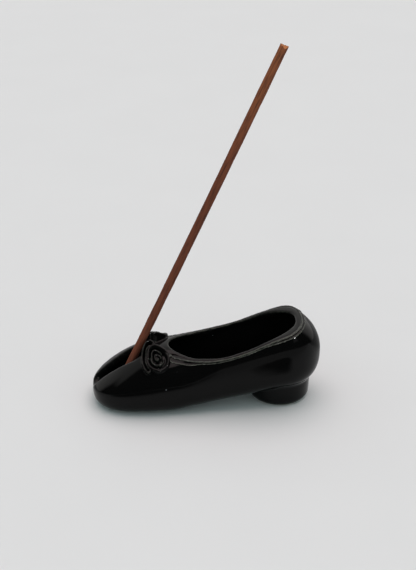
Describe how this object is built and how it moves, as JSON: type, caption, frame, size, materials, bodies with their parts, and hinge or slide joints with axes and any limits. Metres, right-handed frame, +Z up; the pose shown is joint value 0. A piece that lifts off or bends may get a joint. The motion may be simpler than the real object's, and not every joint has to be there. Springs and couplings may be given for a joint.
{
  "type": "incense burner",
  "caption": "Black-glazed ceramic incense burner shaped as a low-heeled open-toed slipper with roses on the vamp, holding a leaning stick of incense.",
  "frame": {"origin": "on the table, under the middle of the slipper's length and width", "axes": "+Z up; -X towards the toe and +X towards the heel; Y across the slipper, which mirrors itself across Y = 0"},
  "size_m": [0.115, 0.0428, 0.1838],
  "materials": {
    "black_glaze": "gloss black glaze over hand-built clay",
    "incense": "dry matt brown pressed incense paste with no core"
  },
  "bodies": {
    "burner": {"upper": "black_glaze", "outsole": "black_glaze", "heel_block": "black_glaze", "collar_binding": "black_glaze", "rose_near_bud": "black_glaze", "rose_near_inner_petal_1": "black_glaze", "rose_near_inner_petal_2": "black_glaze", "rose_near_inner_petal_3": "black_glaze", "rose_near_outer_petal_1": "black_glaze", "rose_near_outer_petal_2": "black_glaze", "rose_near_outer_petal_3": "black_glaze", "rose_near_frill_1": "black_glaze", "rose_far_bud": "black_glaze", "rose_far_inner_petal_1": "black_glaze", "rose_far_inner_petal_2": "black_glaze", "rose_far_inner_petal_3": "black_glaze", "rose_far_outer_petal_1": "black_glaze", "rose_far_outer_petal_2": "black_glaze", "rose_far_outer_petal_3": "black_glaze", "rose_far_frill_1": "black_glaze", "stick_socket": "black_glaze"},
    "incense": {"incense_stick": "incense"}
  },
  "joints": [
    {"name": "incense_lift", "type": "slide", "parent": "burner", "child": "incense", "axis": [0.4136, 0, 0.9105], "range_m": [0, 0.05]}
  ]
}
